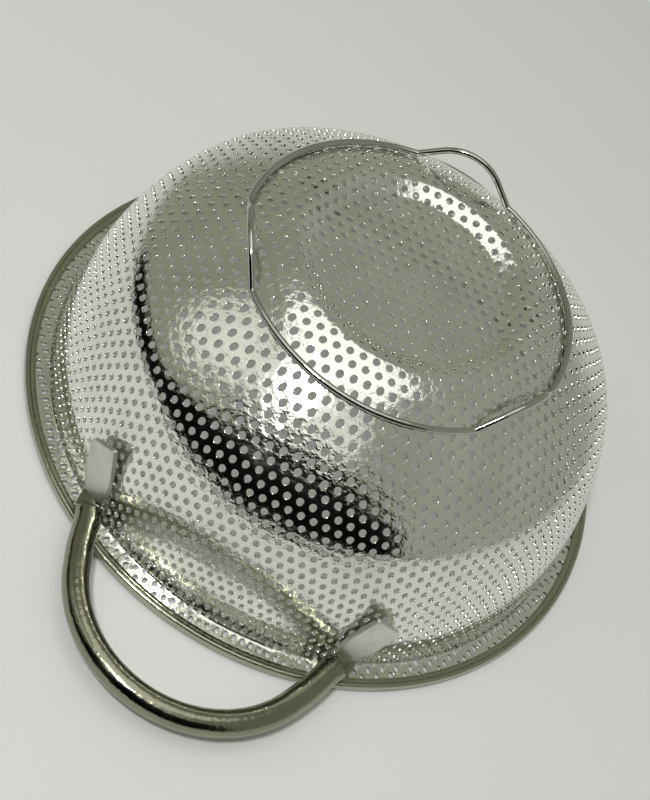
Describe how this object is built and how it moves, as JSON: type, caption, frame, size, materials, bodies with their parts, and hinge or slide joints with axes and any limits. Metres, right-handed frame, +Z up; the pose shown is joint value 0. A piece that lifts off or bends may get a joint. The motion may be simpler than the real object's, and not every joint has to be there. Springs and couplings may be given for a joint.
{
  "type": "colander",
  "caption": "Round stainless steel colander with a perforated bowl, a rolled rim, bent tube handles and a wire base ring with feet, stored upside down on its rim.",
  "frame": {"origin": "centre of the circle that the rim rests on, in the resting plane", "axes": "+Z up towards the wire base ring, handles along +Y and -Y, one foot of the ring towards +Y"},
  "size_m": [0.2, 0.2668, 0.0862],
  "materials": {
    "bowl_sheet": "polished, perforated sheet",
    "rim_steel": "polished rolled band",
    "ring_wire": "polished wire",
    "handle_tube": "polished tube"
  },
  "bodies": {
    "root": {"perforated_bowl": "bowl_sheet", "rim_band": "rim_steel", "base_ring": "ring_wire", "handle_front": "handle_tube", "handle_rear": "handle_tube"}
  },
  "joints": []
}
